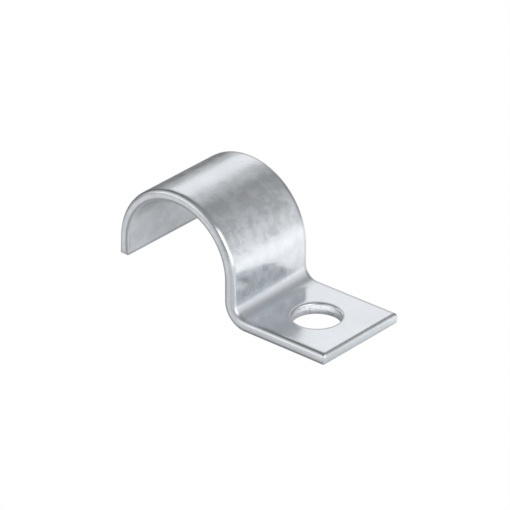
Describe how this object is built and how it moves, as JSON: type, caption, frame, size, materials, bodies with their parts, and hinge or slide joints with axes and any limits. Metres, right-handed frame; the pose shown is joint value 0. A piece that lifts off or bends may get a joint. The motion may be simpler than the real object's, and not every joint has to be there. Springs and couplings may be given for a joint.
{
  "type": "conduit strap",
  "caption": "One-hole steel strap that clamps round conduit to a wall: a half-round loop, a short free leg and a flat foot with a screw hole.",
  "frame": {"origin": "centre of the screw hole, on the face that lies against the wall", "axes": "+Z away from the wall, +X along the foot away from the conduit, +Y along the conduit"},
  "size_m": [0.0341, 0.0144, 0.0158],
  "materials": {
    "strap": "galvanised, glossy with a faint cloudy pattern"
  },
  "bodies": {
    "root": {"strap": "strap"}
  },
  "joints": []
}
